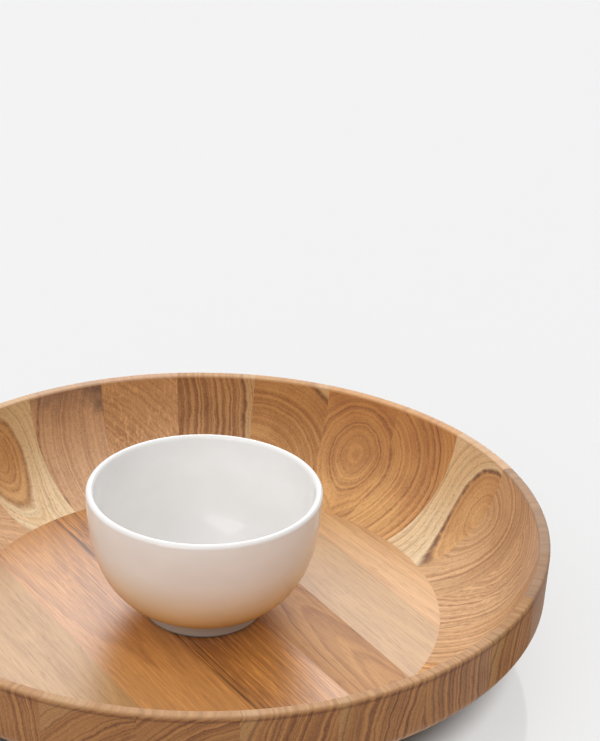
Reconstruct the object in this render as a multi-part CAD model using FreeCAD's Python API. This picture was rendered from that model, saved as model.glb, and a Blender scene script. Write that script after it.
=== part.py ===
import FreeCAD, Part
import math
import os

# Round teak serving tray with a loose ceramic dip bowl.
# Millimetres, +Z up, origin on the table under the centre of the tray.

# Tray
TRAY_RADIUS = 178.0
TRAY_HEIGHT = 65.5
RIM_WIDTH = 5.8
RIM_OUTER_ARRIS = 1.8
RIM_INNER_ARRIS = 1.2
WALL_TAPER = 1.2
WALL_BREAK_Z = 39.0
BASE_RADIUS = 105.0
UNDERSIDE_PULL_UP = 13.5
UNDERSIDE_PULL_OUT = 13.0
COVE_TOP_LEAN = 6.5
COVE_TOP_PULL = 39.0
COVE_FOOT_PULL = 13.0
COVE_FOOT_LIFT = 1.5

# Staves of the tray's ring
STAVE_COUNT = 24
STAVE_ANGLE = 360.0 / STAVE_COUNT
FIRST_JOINT_ANGLE = 95.5

# Floor panel, let into a groove in the staves
FLOOR_RADIUS = 124.2
FLOOR_TOP_Z = 14.0
TONGUE_LENGTH = 4.0
TONGUE_BOTTOM_Z = 8.8
TONGUE_TOP_Z = 11.4
BOARD_DIRECTION = -60.0
BOARD_JOINTS = [-73.0, -27.0, 22.0, 57.0, 96.0]

# Dip bowl
BOWL_RADIUS = 60.8
BOWL_HEIGHT = 71.5
BOWL_WALL = 4.0
BOWL_FOOT_RADIUS = 30.6
BOWL_FOOT_NECK_RADIUS = 29.8
BOWL_FOOT_HEIGHT = 6.3
BOWL_FOOT_WALL = 5.0
BOWL_FOOT_RECESS = 4.5
BOWL_FLOOR_Z = 11.0
BOWL_FLOOR_RADIUS = 23.0

Z_AXIS = FreeCAD.Vector(0, 0, 1)
ORIGIN = FreeCAD.Vector(0, 0, 0)


def at(radius, height):
    """A point of a turned section, in the XZ plane."""
    return FreeCAD.Vector(radius, 0, height)


def line(start, end):
    return Part.LineSegment(at(*start), at(*end)).toShape()


def curve(*poles):
    bezier = Part.BezierCurve()
    bezier.setPoles([at(*pole) for pole in poles])
    return bezier.toShape()


def corner(start, apex, end):
    """A rounded corner that leaves start and reaches end with its tangents towards apex."""
    return curve(start, apex, end)


def turned_face(edges):
    return Part.Face(Part.Wire(edges))


def only(found, what):
    """The single face or solid of a cut, so that a cut that falls apart is never half used."""
    if len(found) != 1:
        raise RuntimeError("%s: expected one, found %d" % (what, len(found)))
    return found[0]


def full_turn(face):
    return only(face.revolve(ORIGIN, Z_AXIS, 360).Solids, "turned solid")


def tray_section():
    """Half section of the whole tray: floor, cove, rim, outer wall and underside."""
    top = TRAY_HEIGHT
    rim_inner = TRAY_RADIUS - RIM_WIDTH
    wall_foot = TRAY_RADIUS - WALL_TAPER
    cove_lean = COVE_TOP_LEAN / COVE_TOP_PULL
    arris_low = (rim_inner - RIM_INNER_ARRIS * cove_lean, top - RIM_INNER_ARRIS)
    outer_low = (TRAY_RADIUS, top - RIM_OUTER_ARRIS)
    wall_lean = WALL_TAPER / (outer_low[1] - WALL_BREAK_Z)
    return turned_face([
        line((0, 0), (BASE_RADIUS, 0)),
        curve(
            (BASE_RADIUS, 0),
            (BASE_RADIUS + UNDERSIDE_PULL_OUT, 0),
            (wall_foot - UNDERSIDE_PULL_UP * wall_lean, WALL_BREAK_Z - UNDERSIDE_PULL_UP),
            (wall_foot, WALL_BREAK_Z),
        ),
        line((wall_foot, WALL_BREAK_Z), outer_low),
        corner(outer_low, (TRAY_RADIUS, top), (TRAY_RADIUS - RIM_OUTER_ARRIS, top)),
        line((TRAY_RADIUS - RIM_OUTER_ARRIS, top), (rim_inner + RIM_INNER_ARRIS, top)),
        corner((rim_inner + RIM_INNER_ARRIS, top), (rim_inner, top), arris_low),
        curve(
            arris_low,
            (rim_inner - COVE_TOP_LEAN, top - COVE_TOP_PULL),
            (FLOOR_RADIUS + COVE_FOOT_PULL, FLOOR_TOP_Z + COVE_FOOT_LIFT),
            (FLOOR_RADIUS, FLOOR_TOP_Z),
        ),
        line((FLOOR_RADIUS, FLOOR_TOP_Z), (0, FLOOR_TOP_Z)),
        line((0, FLOOR_TOP_Z), (0, 0)),
    ])


def floor_blank_section():
    """Half section of the room that the floor panel and its tongue take up."""
    outline = [
        (0, -1),
        (FLOOR_RADIUS, -1),
        (FLOOR_RADIUS, TONGUE_BOTTOM_Z),
        (FLOOR_RADIUS + TONGUE_LENGTH, TONGUE_BOTTOM_Z),
        (FLOOR_RADIUS + TONGUE_LENGTH, TONGUE_TOP_Z),
        (FLOOR_RADIUS, TONGUE_TOP_Z),
        (FLOOR_RADIUS, FLOOR_TOP_Z + 1),
        (0, FLOOR_TOP_Z + 1),
        (0, -1),
    ]
    return Part.Face(Part.makePolygon([at(*point) for point in outline]))


def staves(section):
    """The ring's staves, counted anticlockwise from the first joint."""
    face = only(section.cut(floor_blank_section()).Faces, "stave section")
    made = []
    for number in range(STAVE_COUNT):
        wedge = face.copy()
        wedge.rotate(ORIGIN, Z_AXIS, FIRST_JOINT_ANGLE + number * STAVE_ANGLE)
        made.append(only(wedge.revolve(ORIGIN, Z_AXIS, STAVE_ANGLE).Solids, "stave"))
    return made


def board_blank(low, high):
    """A straight board between two joints, long enough to cross the panel."""
    reach = 2 * TRAY_RADIUS
    blank = Part.makeBox(reach, high - low, TRAY_HEIGHT, FreeCAD.Vector(-reach / 2, low, -1))
    blank.rotate(ORIGIN, Z_AXIS, BOARD_DIRECTION)
    return blank


def floor_boards(section):
    """The floor panel's boards, in order across the grain."""
    panel = full_turn(only(section.common(floor_blank_section()).Faces, "floor section"))
    edges = [-TRAY_RADIUS] + BOARD_JOINTS + [TRAY_RADIUS]
    made = []
    for low, high in zip(edges, edges[1:]):
        made.append(only(panel.common(board_blank(low, high)).Solids, "floor board"))
    return made


def check_tray(section, pieces):
    """The tray's pieces together must fill exactly the turned tray."""
    whole = full_turn(section).Volume
    total = sum(piece.Volume for piece in pieces)
    if abs(total - whole) > 0.0005 * whole:
        raise RuntimeError("tray pieces hold %.0f of %.0f cubic mm" % (total, whole))


def dip_bowl():
    """Footed bowl with a rounded lip, standing on the floor panel."""
    inner_radius = BOWL_RADIUS - BOWL_WALL
    lip_z = BOWL_HEIGHT - BOWL_WALL / 2
    foot_inner = BOWL_FOOT_RADIUS - BOWL_FOOT_WALL
    edges = [
        line((0, BOWL_FOOT_RECESS), (foot_inner - 1.5, BOWL_FOOT_RECESS)),
        line((foot_inner - 1.5, BOWL_FOOT_RECESS), (foot_inner, 0)),
        line((foot_inner, 0), (BOWL_FOOT_RADIUS - 1, 0)),
        line((BOWL_FOOT_RADIUS - 1, 0), (BOWL_FOOT_RADIUS, 1)),
        line((BOWL_FOOT_RADIUS, 1), (BOWL_FOOT_NECK_RADIUS, BOWL_FOOT_HEIGHT)),
        curve(
            (BOWL_FOOT_NECK_RADIUS, BOWL_FOOT_HEIGHT),
            (56.0, 15.8),
            (60.3, 43.4),
            (BOWL_RADIUS, lip_z),
        ),
        Part.Arc(
            at(BOWL_RADIUS, lip_z),
            at(BOWL_RADIUS - BOWL_WALL / 2, BOWL_HEIGHT),
            at(inner_radius, lip_z),
        ).toShape(),
        curve(
            (inner_radius, lip_z),
            (56.0, 45.0),
            (52.5, BOWL_FLOOR_Z),
            (BOWL_FLOOR_RADIUS, BOWL_FLOOR_Z),
        ),
        line((BOWL_FLOOR_RADIUS, BOWL_FLOOR_Z), (0, BOWL_FLOOR_Z)),
        line((0, BOWL_FLOOR_Z), (0, BOWL_FOOT_RECESS)),
    ]
    bowl = full_turn(turned_face(edges))
    bowl.translate(FreeCAD.Vector(0, 0, FLOOR_TOP_Z))
    return bowl


def build():
    section = tray_section()
    pieces = {}
    for number, stave in enumerate(staves(section), start=1):
        pieces["stave_%02d" % number] = stave
    for number, board in enumerate(floor_boards(section), start=1):
        pieces["floor_board_%d" % number] = board
    check_tray(section, pieces.values())
    pieces["dip_bowl"] = dip_bowl()
    return pieces


os.makedirs("parts", exist_ok=True)
for name, shape in build().items():
    if not shape.isValid() or shape.Volume <= 0:
        raise RuntimeError("bad solid: " + name)
    shape.exportStep(os.path.join("parts", name + ".step"))
    print(name, round(shape.Volume, 1), [round(v, 2) for v in (
        shape.BoundBox.XMin, shape.BoundBox.XMax, shape.BoundBox.YMin, shape.BoundBox.YMax,
        shape.BoundBox.ZMin, shape.BoundBox.ZMax)])
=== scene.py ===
import math
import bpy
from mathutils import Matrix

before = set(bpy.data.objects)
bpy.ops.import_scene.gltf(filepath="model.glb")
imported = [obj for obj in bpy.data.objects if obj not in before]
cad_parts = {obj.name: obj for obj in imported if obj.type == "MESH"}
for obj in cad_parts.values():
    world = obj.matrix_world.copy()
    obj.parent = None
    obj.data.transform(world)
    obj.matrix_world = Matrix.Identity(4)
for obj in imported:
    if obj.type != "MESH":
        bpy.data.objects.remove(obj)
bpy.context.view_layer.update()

from types import SimpleNamespace

import bpy
from mathutils import Matrix, Vector

# ---------------------------------------------------------------- the tray's layout
# Angles are in degrees, anticlockwise from the viewer's right, and heights in millimetres.
STAVE_ANGLE = 15.0
FIRST_JOINT_ANGLE = 95.5
BOARD_DIRECTION = -60.0
FLOOR_TOP_Z = 14.0
RIM_Z = 65.5

# ---------------------------------------------------------------- shader helper
TO_MILLIMETRES = (1000.0, 1000.0, 1000.0)
TO_MILLIMETRES_LEVEL = (1000.0, 1000.0, 0.0)
SEED_DIRECTION = (1.0, 0.7, 1.3)
MIX_FACTOR, MIX_A, MIX_B = 0, 6, 7
MIX_RESULT = 2


def scaled(colour, factor):
    return tuple(min(1.0, c * factor) for c in colour)


def average(a, b):
    return tuple(0.5 * (one + other) for one, other in zip(a, b))


class Graph:
    """Adds nodes to one material and links them. Lengths are in millimetres."""

    def __init__(self, name):
        self.material = bpy.data.materials.new(name)
        self.material.use_nodes = True
        self.tree = self.material.node_tree
        self.tree.nodes.clear()

    def node(self, kind, **settings):
        made = self.tree.nodes.new(kind)
        for key, value in settings.items():
            setattr(made, key, value)
        return made

    def feed(self, socket, value):
        """Links another node's output to the socket, or sets the socket to a plain value."""
        if isinstance(value, bpy.types.NodeSocket):
            self.tree.links.new(value, socket)
        elif isinstance(value, tuple) and socket.type == "RGBA":
            socket.default_value = value[:3] + (1.0,)
        else:
            socket.default_value = value

    def math(self, operation, *values):
        made = self.node("ShaderNodeMath", operation=operation)
        for socket, value in zip(made.inputs, values):
            self.feed(socket, value)
        return made.outputs[0]

    def plus(self, a, b):
        return self.math("ADD", a, b)

    def minus(self, a, b):
        return self.math("SUBTRACT", a, b)

    def times(self, a, b):
        return self.math("MULTIPLY", a, b)

    def times_plus(self, a, b, c):
        return self.math("MULTIPLY_ADD", a, b, c)

    def gap(self, a, b):
        return self.math("ABSOLUTE", self.minus(a, b))

    def distance(self, a, b):
        return self.math("SQRT", self.plus(self.times(a, a), self.times(b, b)))

    def dot(self, a, b):
        made = self.node("ShaderNodeVectorMath", operation="DOT_PRODUCT")
        self.feed(made.inputs[0], a)
        self.feed(made.inputs[1], b)
        return made.outputs["Value"]

    def mix(self, factor, a, b, blend="MIX"):
        made = self.node("ShaderNodeMix", data_type="RGBA", blend_type=blend)
        self.feed(made.inputs[MIX_FACTOR], factor)
        self.feed(made.inputs[MIX_A], a)
        self.feed(made.inputs[MIX_B], b)
        return made.outputs[MIX_RESULT]

    def tint(self, colour, factor, by):
        """Multiplies the colour by another, as far as factor says."""
        return self.mix(factor, colour, by, "MULTIPLY")

    def place(self, vector, location=(0, 0, 0), rotation=0.0, scale=(1, 1, 1)):
        made = self.node("ShaderNodeMapping")
        self.feed(made.inputs["Vector"], vector)
        made.inputs["Location"].default_value = location
        made.inputs["Rotation"].default_value = (0, 0, rotation)
        made.inputs["Scale"].default_value = scale
        return made.outputs[0]

    def split(self, vector):
        made = self.node("ShaderNodeSeparateXYZ")
        self.feed(made.inputs[0], vector)
        return made.outputs

    def noise(self, vector, scale, seed=0.0, detail=2.0, roughness=0.5):
        """Noise between 0 and 1, with a frequency per millimetre along each axis."""
        shift = tuple(seed * part for part in SEED_DIRECTION)
        made = self.node("ShaderNodeTexNoise")
        self.feed(made.inputs["Vector"], self.place(vector, location=shift, scale=scale))
        made.inputs["Scale"].default_value = 1.0
        made.inputs["Detail"].default_value = detail
        made.inputs["Roughness"].default_value = roughness
        return made.outputs["Fac"]

    def line_noise(self, value, scale, seed=0.0, detail=2.0):
        """Noise between 0 and 1 along a single value."""
        made = self.node("ShaderNodeTexNoise", noise_dimensions="1D")
        self.feed(made.inputs["W"], self.times_plus(value, scale, seed))
        made.inputs["Scale"].default_value = 1.0
        made.inputs["Detail"].default_value = detail
        return made.outputs["Fac"]

    def chance(self, value):
        """An unrelated number between 0 and 1 for each value."""
        made = self.node("ShaderNodeTexWhiteNoise", noise_dimensions="1D")
        self.feed(made.inputs["W"], value)
        return made.outputs["Value"]

    def ramp(self, value, span, most=1.0, least=0.0):
        """Eases from least to most as the value goes from the span's first end to its second."""
        made = self.node("ShaderNodeMapRange", interpolation_type="SMOOTHSTEP")
        self.feed(made.inputs["Value"], value)
        made.inputs["From Min"].default_value = span[0]
        made.inputs["From Max"].default_value = span[1]
        made.inputs["To Min"].default_value = least
        made.inputs["To Max"].default_value = most
        return made.outputs[0]

    def bump(self, height, strength, reach):
        made = self.node("ShaderNodeBump")
        made.inputs["Strength"].default_value = strength
        made.inputs["Distance"].default_value = reach
        self.feed(made.inputs["Height"], height)
        return made.outputs[0]

    def finish(self, **inputs):
        """Closes the material. Underscores in the names stand for spaces."""
        shader = self.node("ShaderNodeBsdfPrincipled")
        for key, value in inputs.items():
            self.feed(shader.inputs[key.replace("_", " ")], value)
        out = self.node("ShaderNodeOutputMaterial")
        self.tree.links.new(shader.outputs[0], out.inputs[0])
        return self.material


# ---------------------------------------------------------------- teak
# Early and late wood of each tone, where the fibres lie in the surface.
TONES = {
    "golden": ((0.75, 0.435, 0.185), (0.57, 0.280, 0.095)),
    "amber": ((0.79, 0.425, 0.145), (0.60, 0.265, 0.072)),
    "tan": ((0.73, 0.445, 0.245), (0.56, 0.305, 0.145)),
    "rose": ((0.70, 0.425, 0.215), (0.55, 0.300, 0.135)),
    "brown": ((0.62, 0.330, 0.135), (0.40, 0.190, 0.072)),
    "red": ((0.64, 0.375, 0.185), (0.42, 0.215, 0.095)),
    "honey": ((0.545, 0.306, 0.108), (0.445, 0.229, 0.072)),
    "satin": ((0.58, 0.262, 0.070), (0.45, 0.186, 0.044)),
    "treacle": ((0.55, 0.240, 0.053), (0.385, 0.144, 0.028)),
    "clay": ((0.54, 0.270, 0.085), (0.41, 0.180, 0.054)),
}
SAPWOOD = (0.90, 0.710, 0.450)

# Tints, which the colour below them is multiplied by.
HEART_EDGE_TINT = (0.34, 0.27, 0.30)
LINE_TINT = (0.55, 0.40, 0.30)
STRIPE_TINT = (0.62, 0.50, 0.40)
STAIN_TINT = (0.36, 0.32, 0.34)
FIBRE_TINT = (0.60, 0.47, 0.36)
PORE_TINT = (0.62, 0.50, 0.42)
END_INSIDE_TINT = (0.60, 0.47, 0.27)
# The outer wall's end grain, deeper than the inside's as painted shade.
END_OUTSIDE_AND_PAINTED_SHADE_TINT = (0.45, 0.33, 0.20)
# The rim's duller tone. Each stave's rim value scales it, as painted reflection at the back and
# painted shade at the right.
RIM_DULL_AND_PAINTED_LIGHT_TINT = (0.73, 0.72, 0.80)
# Painted shade for the fine line below the rim.
RIM_PAINTED_SHADE_TINT = (0.66, 0.58, 0.52)

# How much brighter than early wood the light marks are.
LIGHT_STRIPE_GAIN = 1.25
LIGHT_FIBRE_GAIN = 1.4
FLECK_GAIN = 1.35

# Frequencies per millimetre along the fibres, across them and upwards.
SLOW_WAVE = (0.008, 0.03, 0.03)
QUICK_WAVE = (0.03, 0.17, 0.17)
CLOUD_WAVE = (0.007, 0.04, 0.04)
BREAK_WAVE = (0.02, 0.30, 0.30)
FIBRE_WAVE = (0.030, 0.95, 0.95)
PORE_WAVE = (0.10, 1.4, 1.4)
CURL_WAVE = (0.30, 0.62, 0.20)

# Frequency per millimetre outwards from the pith.
DRIFT_WAVE = 0.13

# What is added to a block's seed for each of its noises.
SLOW_SEED = 0
CLOUD_SEED = 3
QUICK_SEED = 7
STRIPE_SEED = 11
FIBRE_SEED = 17
PORE_SEED = 29
CURL_SEED = 31
BREAK_SEED = 41

# How far the waves push the rings, and a stain's edge, in millimetres.
SLOW_PUSH = 7.0
QUICK_PUSH = 2.0
STAIN_PUSH = 5.0
NOISE_MIDDLE = 0.5

# Rings: how unlike they are in width and strength, and where in a ring, counted from 0 to 1
# outwards, the late wood comes in and the thin line starts and ends.
RING_DRIFT = 1.4
RING_CHANCE_POWER = 2.2
RING_CHANCE = 0.85
RING_LEAST = 0.15
LATE_WOOD_SPAN = (0.20, 0.95)
LATE_WOOD_DEPTH = 0.5
LINE_START_SPAN = (0.74, 0.90)
LINE_END_SPAN = (1.0, 0.95)

# Spans of a noise over which a mark comes in, and the depth that it reaches.
BREAK_SPAN = (0.30, 0.62)
BREAK_LEAST = 0.35
CLOUD_SPAN = (0.42, 0.66)
CLOUD_DEPTH = 0.70
SAP_CLOUD_SPAN = (0.42, 0.75)
SAP_CLOUD_DEPTH = 0.35
DARK_STRIPE_SPAN = (0.48, 0.62)
LIGHT_STRIPE_SPAN = (0.48, 0.38)
LIGHT_STRIPE_SHARE = 0.8
DARK_FIBRE_SPAN = (0.50, 0.64)
LIGHT_FIBRE_SPAN = (0.48, 0.36)
PORE_SPAN = (0.60, 0.72)
PORE_DEPTH = 0.55
FLECK_SPAN = (0.52, 0.64)

# Spans in millimetres: from the pith, from where sapwood starts and from a line's middle.
PITH_SPAN = (3.0, 12.0)
SAP_SPAN = (-0.8, 1.6)
HEART_EDGE_SPAN = (2.2, 0.2)
HEART_EDGE_INSIDE_SAP = 0.4

# Shares of a mark's own size: where it is at its darkest, and how uneven a stain's edge is.
LINE_CORE = 0.15
STAIN_CORE = 0.2
STAIN_UNEVENNESS = 0.8

# Spans of how far the surface faces along the fibres, from -1 into the tray to 1 out of it.
END_INSIDE_SPAN = (-0.40, -1.0)
END_OUTSIDE_SPAN = (0.35, 0.95)
RIM_PAINTED_SHADE_SIDE_SPAN = (0.3, 0.8)

# Where on the rim the wood turns duller, and the fine line of painted shade just below it.
RIM_SPAN = (RIM_Z - 1.5, RIM_Z - 0.6)
RIM_PLAINNESS = 0.6
RIM_PAINTED_SHADE_Z = RIM_Z - 2.6
RIM_PAINTED_SHADE_SPAN = (1.0, 0.2)

# The oiled surface. The relief's reach is in metres, as the shader takes it.
FIBRE_ROUGHNESS = 0.16
FIBRE_RELIEF = 0.7
RELIEF_STRENGTH = 0.10
RELIEF_REACH = 0.0002
OIL_IOR = 1.5
SHEEN_ROUGHNESS = 0.5

# What a block is like where its own entry in the tables doesn't say otherwise. Depths run from
# 0 to 1, and lengths are in millimetres.
USUAL_CUT = dict(
    squeeze=1.0,    # how much the rings are drawn out in height
    lean=0.0,       # how far the log sinks per millimetre along the fibres
    wobble=1.0,     # how uneven the rings are
    lines=0.5,      # depth of the line that ends each ring
    rings=(),       # rings that stand out, each (radius, width, depth)
    stripes=0.3,    # depth of the stripes that follow the rings
    fine=0.42,      # number of those stripes in a millimetre
    sap=None,       # radius at which sapwood starts
    pale=1.0,       # how pale the sapwood is
    edge=0.8,       # depth of the dark line round the heartwood
    stains=(),      # streaks along the fibres, each (y, z, size, depth)
    grain=0.3,      # depth of the dark fibres
    streaks=0.15,   # depth of the light fibres
    flecks=0.0,     # depth of the flecks where the grain is curly
    # Lower ends values also paint light onto the upper cove, as on staves 17 to 19.
    ends=0.85,      # depth of the end grain inside the tray
    # Above the usual value the rim gets a painted reflection, below it painted shade.
    rim=1.2,        # brightness of the rim
    rough=0.62,     # the smoothest that the oiled surface gets
    gloss=0.5,      # strength of its reflections
    sheen=0.10,     # its haze at a grazing angle
)


class Teak(Graph):
    """Oiled teak cut from a log, in the block's own axes: x along the fibres, y across, z up.

    cut describes the block. Its tone names its colours, its pith is where the log's centre
    crosses the (y, z) plane and its spacing is the distance between growth rings. Each method
    below lays one kind of figure over self.body, so their order matters.
    """

    def __init__(self, name, turn, seed, cut):
        super().__init__(name)
        self.turn = turn
        self.seed = seed
        self.cut = SimpleNamespace(**{**USUAL_CUT, **cut})
        self.early, self.late = TONES[self.cut.tone]
        self.coordinates = self.node("ShaderNodeTexCoord")
        self.block = self.place(self.coordinates.outputs["Object"], rotation=-turn,
                                scale=TO_MILLIMETRES)
        self.x, self.y, self.z = self.split(self.block)
        self.slow = self.minus(self.block_noise(SLOW_WAVE, SLOW_SEED), NOISE_MIDDLE)
        self.quick = self.minus(self.block_noise(QUICK_WAVE, QUICK_SEED), NOISE_MIDDLE)
        self.cloud = self.block_noise(CLOUD_WAVE, CLOUD_SEED, detail=3.0)
        breaks = self.block_noise(BREAK_WAVE, BREAK_SEED, detail=3.0)
        self.broken = self.ramp(breaks, BREAK_SPAN, least=BREAK_LEAST)
        self.radius = self.distance_from_pith()
        self.away = self.ramp(self.radius, PITH_SPAN)

    def block_noise(self, wave, seed_step, detail=2.0, roughness=0.5):
        return self.noise(self.block, wave, self.seed + seed_step, detail, roughness)

    def distance_from_pith(self):
        pith_y, pith_z = self.cut.pith
        height = self.plus(self.times_plus(self.x, self.cut.lean, -pith_z), self.z)
        height = self.times(height, self.cut.squeeze)
        even = self.distance(self.minus(self.y, pith_y), height)
        pushed = self.times_plus(self.slow, SLOW_PUSH * self.cut.wobble, even)
        return self.times_plus(self.quick, QUICK_PUSH * self.cut.wobble, pushed)

    def lay_rings(self):
        """Each ring darkens outwards and ends in a thin line, and no two are equally strong."""
        drift = self.line_noise(self.radius, DRIFT_WAVE, self.seed)
        even = self.math("DIVIDE", self.radius, self.cut.spacing)
        count = self.times_plus(drift, RING_DRIFT, even)
        phase = self.math("FRACT", count)
        chance = self.chance(self.plus(self.math("FLOOR", count), self.seed))
        chance = self.math("POWER", chance, RING_CHANCE_POWER)
        strength = self.times_plus(chance, RING_CHANCE, RING_LEAST)
        late_band = self.times(self.ramp(phase, LATE_WOOD_SPAN), strength)
        line = self.times(self.ramp(phase, LINE_START_SPAN), self.ramp(phase, LINE_END_SPAN))
        self.ring_line = self.times(line, strength)
        self.body = self.mix(self.times(late_band, LATE_WOOD_DEPTH), self.early, self.late)
        clouded = self.ramp(self.cloud, CLOUD_SPAN, CLOUD_DEPTH)
        self.body = self.mix(clouded, self.body, self.late)

    def lay_sapwood(self):
        if self.cut.sap is None:
            return
        outer = self.mix(self.cut.pale, self.early, SAPWOOD)
        outer = self.mix(self.ramp(self.cloud, SAP_CLOUD_SPAN, SAP_CLOUD_DEPTH), outer, self.early)
        span = (self.cut.sap + SAP_SPAN[0], self.cut.sap + SAP_SPAN[1])
        self.body = self.mix(self.ramp(self.radius, span), self.body, outer)

    def lay_stripes(self):
        stripe = self.line_noise(self.radius, self.cut.fine, self.seed + STRIPE_SEED, detail=4.0)
        dark = self.times(self.ramp(stripe, DARK_STRIPE_SPAN, self.cut.stripes), self.away)
        light = self.ramp(stripe, LIGHT_STRIPE_SPAN, LIGHT_STRIPE_SHARE * self.cut.stripes)
        self.body = self.tint(self.body, dark, STRIPE_TINT)
        self.body = self.mix(light, self.body, scaled(self.early, LIGHT_STRIPE_GAIN))

    def lay_lines(self):
        """The rings' own thin lines, the rings that stand out and the edge of the heartwood."""
        thin = self.times(self.times(self.ring_line, self.cut.lines), self.away)
        self.body = self.tint(self.body, thin, LINE_TINT)
        for radius, width, depth in self.cut.rings:
            self.lay_line(radius, (width, width * LINE_CORE), depth, LINE_TINT)
        if self.cut.sap is not None:
            edge = self.cut.sap - HEART_EDGE_INSIDE_SAP
            self.lay_line(edge, HEART_EDGE_SPAN, self.cut.edge, HEART_EDGE_TINT)

    def lay_line(self, radius, span, depth, tint):
        near = self.ramp(self.gap(self.radius, radius), span, depth)
        self.body = self.tint(self.body, self.times(near, self.broken), tint)

    def lay_stains(self):
        wavy = self.times_plus(self.slow, STAIN_PUSH, self.y)
        for stain_y, stain_z, size, depth in self.cut.stains:
            off = self.distance(self.minus(wavy, stain_y), self.minus(self.z, stain_z))
            off = self.times_plus(self.quick, size * STAIN_UNEVENNESS, off)
            stained = self.ramp(off, (size, size * STAIN_CORE), depth)
            self.body = self.tint(self.body, stained, STAIN_TINT)

    def lay_fibres(self):
        self.fibre = self.block_noise(FIBRE_WAVE, FIBRE_SEED, detail=5.0, roughness=0.62)
        dark = self.ramp(self.fibre, DARK_FIBRE_SPAN, self.cut.grain)
        light = self.ramp(self.fibre, LIGHT_FIBRE_SPAN, self.cut.streaks)
        self.body = self.tint(self.body, dark, FIBRE_TINT)
        self.body = self.mix(light, self.body, scaled(self.early, LIGHT_FIBRE_GAIN))

    def lay_pores(self):
        self.pore = self.ramp(self.block_noise(PORE_WAVE, PORE_SEED, detail=1.0), PORE_SPAN)
        self.body = self.tint(self.body, self.times(self.pore, PORE_DEPTH), PORE_TINT)

    def lay_flecks(self):
        """Light flecks where the grain is curly."""
        if not self.cut.flecks:
            return
        curl = self.block_noise(CURL_WAVE, CURL_SEED, detail=3.0, roughness=0.6)
        fleck = self.ramp(curl, FLECK_SPAN, self.cut.flecks)
        self.body = self.mix(fleck, self.body, scaled(self.early, FLECK_GAIN))

    def lay_end_grain(self):
        """End grain is deeper, most of all on the outer wall, where the extra depth is painted shade.
        """
        fibre_direction = (math.cos(self.turn), math.sin(self.turn), 0.0)
        self.along = self.dot(self.coordinates.outputs["Normal"], fibre_direction)
        inside = self.ramp(self.along, END_INSIDE_SPAN, self.cut.ends)
        outside = self.ramp(self.along, END_OUTSIDE_SPAN)
        self.body = self.tint(self.body, inside, END_INSIDE_TINT)
        # The outer wall's end grain, with painted shade.
        self.body = self.tint(self.body, outside, END_OUTSIDE_AND_PAINTED_SHADE_TINT)

    def lay_rim(self):
        """The rim is plainer and duller, with painted reflection at the back and painted shade at the
        right, and a fine line of painted shade below it on the outer wall.
        """
        plain = self.ramp(self.z, RIM_SPAN, RIM_PLAINNESS)
        self.body = self.mix(plain, self.body, average(self.early, self.late))
        # Each stave's rim value paints a reflection on the rim at the back and shade on it at the
        # right.
        self.body = self.tint(self.body, self.ramp(self.z, RIM_SPAN), scaled(RIM_DULL_AND_PAINTED_LIGHT_TINT, self.cut.rim))
        # A fine line of painted shade on the outer wall, just below the rim.
        painted_shade_below = self.ramp(self.gap(self.z, RIM_PAINTED_SHADE_Z), RIM_PAINTED_SHADE_SPAN)
        outside = self.ramp(self.along, RIM_PAINTED_SHADE_SIDE_SPAN)
        self.body = self.tint(self.body, self.times(painted_shade_below, outside), RIM_PAINTED_SHADE_TINT)

    def surface(self):
        relief = self.minus(self.times(self.fibre, FIBRE_RELIEF), self.pore)
        return self.finish(
            Base_Color=self.body,
            Roughness=self.times_plus(self.fibre, FIBRE_ROUGHNESS, self.cut.rough),
            Normal=self.bump(relief, RELIEF_STRENGTH, RELIEF_REACH),
            IOR=OIL_IOR,
            Specular_IOR_Level=self.cut.gloss,
            Sheen_Weight=self.cut.sheen,
            Sheen_Roughness=SHEEN_ROUGHNESS,
        )


def teak(name, turn, seed, cut):
    wood = Teak(name, turn, seed, cut)
    wood.lay_rings()
    wood.lay_sapwood()
    wood.lay_stripes()
    wood.lay_lines()
    wood.lay_stains()
    wood.lay_fibres()
    wood.lay_pores()
    wood.lay_flecks()
    wood.lay_end_grain()
    wood.lay_rim()
    return wood.surface()


# ---------------------------------------------------------------- glaze
GLAZE = (0.83, 0.810, 0.790)
GLAZE_PALE = (0.87, 0.855, 0.838)
GLAZE_SPECK = (0.62, 0.59, 0.54)
# Painted warm light from the wood, on the bowl's lower outside.
GLAZE_PAINTED_WOOD_LIGHT_TINT = (0.84, 0.64, 0.33)
# The bare foot ring's colour, darkened further as painted shade.
BARE_FOOT_AND_PAINTED_SHADE = (0.40, 0.375, 0.350)
# Painted contact shadow at the base of the foot ring.
FOOT_PAINTED_CONTACT_SHADOW = (0.14, 0.17, 0.20)
MOTTLE_WAVE = (0.03, 0.03, 0.05)
MOTTLE_SEED = 4.0
MOTTLE_SPAN = (0.3, 0.7)
SPECK_WAVE = (1.1, 1.1, 1.1)
SPECK_SEED = 9.0
SPECK_SPAN = (0.76, 0.82)
SPECK_DEPTH = 0.2
GLAZE_IOR = 1.5
GLAZE_ROUGHNESS = 0.04
BARE_ROUGHER_BY = 0.35

# How far the surface faces away from the axis, times its distance from it in millimetres.
OUTSIDE_SPAN = (2.0, 10.0)

# Heights at which each starts and is at its fullest, on the way down.
PAINTED_WOOD_LIGHT_SPAN = (FLOOR_TOP_Z + 52.0, FLOOR_TOP_Z + 12.0)
FOOT_SPAN = (FLOOR_TOP_Z + 5.6, FLOOR_TOP_Z + 4.8)
FOOT_PAINTED_CONTACT_SHADOW_SPAN = (FLOOR_TOP_Z + 1.6, FLOOR_TOP_Z + 1.0)


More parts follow.
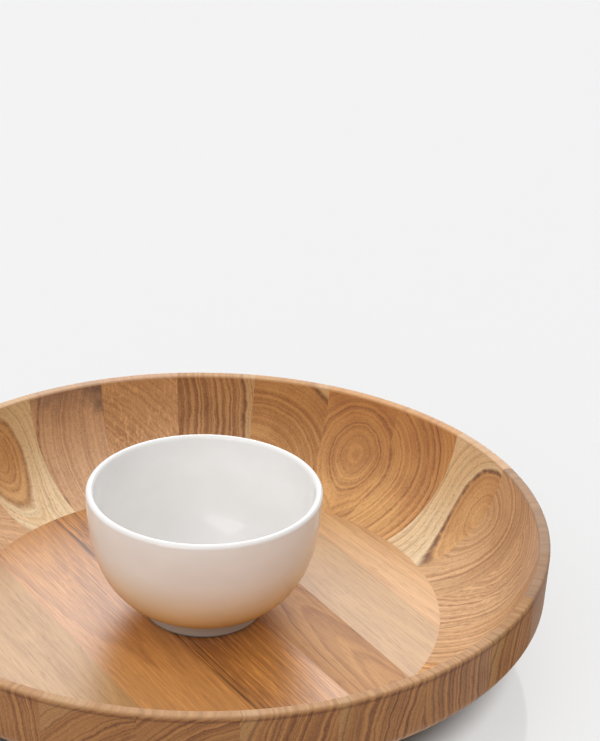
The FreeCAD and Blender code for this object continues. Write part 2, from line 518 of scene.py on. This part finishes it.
def glaze():
    """Off-white glaze, faintly mottled, with painted warm light from the wood low on the outside,
    above a bare foot ring darkened as painted shade and a painted contact shadow at its base.
    """
    g = Graph("white_glaze")
    coordinates = g.node("ShaderNodeTexCoord")
    place = g.place(coordinates.outputs["Object"], scale=TO_MILLIMETRES)
    from_axis = g.place(coordinates.outputs["Object"], scale=TO_MILLIMETRES_LEVEL)
    z = g.split(place)[2]
    mottle = g.ramp(g.noise(place, MOTTLE_WAVE, MOTTLE_SEED, detail=3.0), MOTTLE_SPAN)
    body = g.mix(mottle, GLAZE, GLAZE_PALE)
    speck = g.ramp(g.noise(place, SPECK_WAVE, SPECK_SEED, detail=1.0), SPECK_SPAN, SPECK_DEPTH)
    body = g.mix(speck, body, GLAZE_SPECK)
    outside = g.ramp(g.dot(coordinates.outputs["Normal"], from_axis), OUTSIDE_SPAN)
    # Painted warm light from the wood, low on the outside of the bowl.
    body = g.tint(body, g.times(g.ramp(z, PAINTED_WOOD_LIGHT_SPAN), outside), GLAZE_PAINTED_WOOD_LIGHT_TINT)
    foot = g.ramp(z, FOOT_SPAN)
    # The bare foot ring, darkened further as painted shade.
    body = g.mix(foot, body, BARE_FOOT_AND_PAINTED_SHADE)
    # Painted contact shadow where the foot ring meets the floor.
    body = g.mix(g.ramp(z, FOOT_PAINTED_CONTACT_SHADOW_SPAN), body, FOOT_PAINTED_CONTACT_SHADOW)
    roughness = g.times_plus(foot, BARE_ROUGHER_BY, GLAZE_ROUGHNESS)
    return g.finish(Base_Color=body, Roughness=roughness, IOR=GLAZE_IOR)


# ---------------------------------------------------------------- the blocks
# Staves, anticlockwise from the joint just left of the back. Their rim values paint a reflection on
# the rim at the back and shade on it at the right.
STAVES = [
    dict(tone="tan", pith=(120, -90), spacing=6.0, lines=0.15, stripes=0.35, flecks=0.60),
    dict(tone="tan", pith=(-110, 30), spacing=6.0, lines=0.30, stripes=0.30, ends=0.75, rim=1.4,
         gloss=0.9, sheen=0.3,
         rings=((104, 1.0, 0.5), (89.5, 1.2, 0.6), (117, 0.8, 0.4), (131.5, 1.5, 1.0)),
         stains=((-20, 68, 18, 1.0), (-21, 54, 9, 0.7), (8, 73, 28, 0.7), (17, 16.5, 2.4, 0.8))),
    dict(tone="golden", pith=(5, 40), spacing=3.2, squeeze=0.72, wobble=0.7, sap=15.5, edge=0.5,
         ends=0.65,
         rings=((5, 0.8, 0.5), (8.5, 0.8, 0.6), (11, 0.8, 0.6), (18.5, 0.8, 0.4), (22, 0.8, 0.4))),
    dict(tone="tan", pith=(-30, 60), spacing=3.6, sap=62, pale=0.7, edge=0.3, rim=1.0),
    dict(tone="golden", pith=(20, -20), spacing=4.0, stripes=0.4, rim=1.0),
    dict(tone="brown", pith=(80, 20), spacing=3.5, rim=1.0,
         rings=((70, 1.5, 0.6), (88, 1.0, 0.5))),
    dict(tone="amber", pith=(-40, 10), spacing=4.4, sap=58, pale=0.8, rim=1.0),
    dict(tone="rose", pith=(10, 80), spacing=4.2, rim=1.0,
         rings=((40, 1.2, 0.5),)),
    dict(tone="brown", pith=(-70, 30), spacing=3.6, stripes=0.5, rim=1.0),
    dict(tone="golden", pith=(-90, 40), spacing=3.0, stripes=0.8, fine=0.45, grain=0.4, rim=1.0),
    dict(tone="golden", pith=(46, -8), spacing=4.0, stripes=0.6, fine=0.5, sap=86, pale=0.35,
         edge=0.2, rim=1.0,
         rings=((62, 0.8, 0.7), (67, 0.8, 0.8), (73, 0.6, 0.7))),
    dict(tone="golden", pith=(38, 0), spacing=3.6, lines=0.7, stripes=0.7, fine=0.45, rim=1.0),
    dict(tone="golden", pith=(110, 30), spacing=2.6, stripes=1.0, fine=0.45, sap=127.5, pale=0.5,
         edge=0.1, grain=0.4, rim=1.0),
    dict(tone="golden", pith=(90, 34), spacing=2.6, stripes=1.0, fine=0.4, sap=109, pale=0.6,
         edge=0.1, grain=0.4, rim=1.0),
    dict(tone="golden", pith=(130, 60), spacing=2.4, stripes=1.0, fine=0.5, grain=0.4, rim=1.0),
    dict(tone="golden", pith=(90, 25), spacing=2.8, stripes=1.0, fine=0.35, sap=107.5, pale=0.6,
         edge=0.1, grain=0.4, rim=0.85, gloss=0.25, sheen=0.0),
    # Staves 17 to 19 have lower ends values, which paint the light that falls on their upper cove.
    dict(tone="rose", pith=(60, 20), spacing=4.0, lines=0.6, stripes=0.5, ends=0.55, rim=0.72,
         gloss=0.3),
    dict(tone="rose", pith=(26, 36), spacing=4.5, wobble=1.8, lines=0.5, stripes=0.6, flecks=0.35,
         ends=0.55, rim=0.72, sheen=0.2),
    dict(tone="rose", pith=(24, 36), spacing=4.0, lines=0.55, stripes=0.5, ends=0.55, rim=0.85,
         sheen=0.2,
         rings=((33, 0.8, 0.35),)),
    dict(tone="golden", pith=(-20, 38), spacing=3.6, wobble=0.6, lines=0.3, sap=23.5, edge=1.0,
         ends=0.50, sheen=0.2,
         rings=((28, 0.9, 0.55), (32.5, 0.9, 0.55), (36, 0.8, 0.45), (40, 0.8, 0.5), (10, 0.7, 0.5))),
    dict(tone="amber", pith=(38, 30), spacing=3.4, wobble=0.6, lines=0.5, stripes=0.35, gloss=0.75,
         sheen=0.25,
         rings=((22, 1.6, 0.7), (29, 0.8, 0.5), (40, 1.1, 0.8), (46.5, 1.8, 0.7), (52, 1.0, 0.7),
                (56, 1.0, 0.8))),
    dict(tone="amber", pith=(-2, 35), spacing=6.5, lines=0.15, stripes=0.4, ends=0.95, gloss=0.8,
         sheen=0.2,
         rings=((9.5, 0.8, 0.4), (15.5, 0.8, 0.7), (24, 0.9, 0.6), (27, 0.7, 0.4))),
    dict(tone="golden", pith=(20, 8), spacing=5.0, wobble=0.6, lines=0.15, stripes=0.4, sap=66,
         pale=0.9,
         rings=((44, 0.6, 0.4), (50, 0.6, 0.4), (58, 0.6, 0.5))),
    dict(tone="red", pith=(140, 40), spacing=3.0, stripes=0.7, fine=0.5, sap=157, pale=0.55,
         edge=0.6, grain=0.4, rim=1.4,
         rings=((121, 2.2, 0.8), (134, 1.2, 0.5), (148.5, 1.0, 0.7), (152, 1.2, 0.5))),
]

# Floor boards, from the front left to the back right.
BOARDS = [
    dict(tone="honey", pith=(-95, -25), spacing=6.0, lean=0.06, lines=0.35, stripes=0.15,
         grain=0.25, rough=0.30, gloss=0.7),
    dict(tone="satin", pith=(-52, -22), spacing=6.0, lean=0.05, lines=0.35, stripes=0.2,
         grain=0.3, streaks=0.5, rough=0.30, gloss=0.9),
    dict(tone="treacle", pith=(-25, -80), spacing=3.4, lean=0.02, lines=0.3, stripes=0.35,
         grain=0.7, streaks=0.8, rough=0.30, gloss=0.9,
         stains=((-25, 14, 1.6, 0.9), (-21.5, 14, 0.9, 0.7), (-28.5, 14, 1.0, 0.8))),
    dict(tone="clay", pith=(46, -6), spacing=4.2, lean=-0.09, lines=0.5, stripes=0.25,
         grain=0.3, rough=0.40, gloss=0.3),
    dict(tone="honey", pith=(60, -70), spacing=5.0, lean=-0.06, lines=0.3, stripes=0.15,
         grain=0.25, rough=0.30, gloss=0.6),
    dict(tone="golden", pith=(150, -70), spacing=4.0, lean=0.03, lines=0.3, stripes=0.15,
         grain=0.25, rough=0.30),
]

STAVE_SEED_STEP = 3.7
BOARD_SEED_START = 50
BOARD_SEED_STEP = 4.3


def paint(node, material):
    """Gives the CAD's own mesh of that node the material. The mesh stays as it is."""
    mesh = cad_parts[node].data
    mesh.materials.clear()
    mesh.materials.append(material)


def paint_staves():
    for index, cut in enumerate(STAVES):
        node = "stave_%02d" % (index + 1)
        turn = math.radians(FIRST_JOINT_ANGLE + (index + 0.5) * STAVE_ANGLE)
        paint(node, teak("teak_" + node, turn, STAVE_SEED_STEP * index, cut))


def paint_boards():
    for index, cut in enumerate(BOARDS):
        node = "floor_board_%d" % (index + 1)
        seed = BOARD_SEED_START + BOARD_SEED_STEP * index
        paint(node, teak("teak_" + node, math.radians(BOARD_DIRECTION), seed, cut))


# ---------------------------------------------------------------- studio
STUDIO_REACH = 20.0
STUDIO_GREY = (0.20, 0.20, 0.20)
SKY_LEVEL = 0.33
SKY_LEAN = (-0.12, 0.12, 0.90)
SKY_COLOUR = (1.0, 1.0, 1.0, 1.0)


def add_floor():
    reach = STUDIO_REACH
    mesh = bpy.data.meshes.new("studio_floor")
    corners = [(-reach, -reach, 0), (reach, -reach, 0), (reach, reach, 0), (-reach, reach, 0)]
    mesh.from_pydata(corners, [], [(0, 1, 2, 3)])
    floor = bpy.data.objects.new("studio_floor", mesh)
    bpy.context.scene.collection.objects.link(floor)
    matt = Graph("studio_floor").finish(Base_Color=STUDIO_GREY, Roughness=1.0,
                                        Specular_IOR_Level=0.0)
    mesh.materials.append(matt)
    return floor


def add_world():
    """Soft white light from everywhere, stronger from above and a little from the back left."""
    world = bpy.data.worlds.new("studio")
    bpy.context.scene.world = world
    world.use_nodes = True
    tree = world.node_tree
    where = tree.nodes.new("ShaderNodeTexCoord")
    lean = tree.nodes.new("ShaderNodeVectorMath")
    lean.operation = "DOT_PRODUCT"
    lean.inputs[1].default_value = SKY_LEAN
    total = tree.nodes.new("ShaderNodeMath")
    total.operation = "ADD"
    total.inputs[1].default_value = SKY_LEVEL
    kept = tree.nodes.new("ShaderNodeMath")
    kept.operation = "MAXIMUM"
    kept.inputs[1].default_value = 0.0
    background = tree.nodes["Background"]
    background.inputs["Color"].default_value = SKY_COLOUR
    tree.links.new(where.outputs["Generated"], lean.inputs[0])
    tree.links.new(lean.outputs["Value"], total.inputs[0])
    tree.links.new(total.outputs[0], kept.inputs[0])
    tree.links.new(kept.outputs[0], background.inputs["Strength"])


def towards(azimuth, elevation, distance):
    """A place seen from the tray's centre. Azimuth is in degrees from the back, to the right."""
    turn = math.radians(azimuth)
    rise = math.radians(elevation)
    level = distance * math.cos(rise)
    return Vector((level * math.sin(turn), level * math.cos(turn), distance * math.sin(rise)))


def add_light(name, kind, location, energy, spin=0.0, **settings):
    """A light that shines at the tray's centre, turned about its own axis by spin degrees."""
    data = bpy.data.lights.new(name, kind)
    data.energy = energy
    for key, value in settings.items():
        setattr(data, key, value)
    light = bpy.data.objects.new(name, data)
    bpy.context.scene.collection.objects.link(light)
    light.rotation_mode = "QUATERNION"
    turn = Matrix.Rotation(math.radians(spin), 3, "Z").to_quaternion()
    light.rotation_quaternion = location.to_track_quat("Z", "Y") @ turn
    light.location = location
    return light


def add_softbox(name, location, width, height, radiance, spin=0.0):
    return add_light(name, "AREA", location, radiance * math.pi * width * height, spin,
                     shape="RECTANGLE", size=width, size_y=height)


def add_floor_light(name, floor, location, energy, angle):
    """A sun that lights the studio floor only, and is shaded by the tray."""
    lit = bpy.data.collections.new(name)
    lit.objects.link(floor)
    light = add_light(name, "SUN", location, energy, angle=math.radians(angle))
    light.visible_glossy = False
    light.light_linking.receiver_collection = lit


def add_lights(floor):
    add_softbox("back_softbox", towards(azimuth=5, elevation=31, distance=16),
                width=8.5, height=8.5, radiance=3.6)
    add_softbox("front_softbox", towards(azimuth=-152, elevation=26, distance=8),
                width=5.6, height=6.4, radiance=1.5, spin=60)
    add_floor_light("floor_overhead", floor, towards(azimuth=125, elevation=58, distance=5),
                    energy=10.5, angle=30)
    add_floor_light("floor_edge", floor, towards(azimuth=12.5, elevation=31, distance=5),
                    energy=2.8, angle=1.5)


# ---------------------------------------------------------------- camera
CAMERA_Y, CAMERA_Z = -1.0454, 0.6543
PAN, TILT, ROLL = 2.575, 25.624, -1.751
LENS = 112.84
SENSOR_WIDTH = 36.0


def add_camera():
    """Pan is to the right, tilt downwards and roll about the line of sight, all in degrees."""
    pan, tilt, roll = (math.radians(v) for v in (PAN, TILT, ROLL))
    ahead = Vector((math.sin(pan) * math.cos(tilt), math.cos(pan) * math.cos(tilt), -math.sin(tilt)))
    level = Vector((math.cos(pan), -math.sin(pan), 0))
    above = level.cross(ahead)
    right = level * math.cos(roll) - above * math.sin(roll)
    up = level * math.sin(roll) + above * math.cos(roll)
    data = bpy.data.cameras.new("camera")
    data.sensor_width = SENSOR_WIDTH
    data.lens = LENS
    camera = bpy.data.objects.new("camera", data)
    bpy.context.scene.collection.objects.link(camera)
    rotation = Matrix((right, up, -ahead)).transposed().to_4x4()
    camera.matrix_world = Matrix.Translation((0, CAMERA_Y, CAMERA_Z)) @ rotation
    bpy.context.scene.camera = camera


paint_staves()
paint_boards()
paint("dip_bowl", glaze())
add_world()
add_lights(add_floor())
add_camera()
bpy.context.scene.view_settings.view_transform = "Standard"
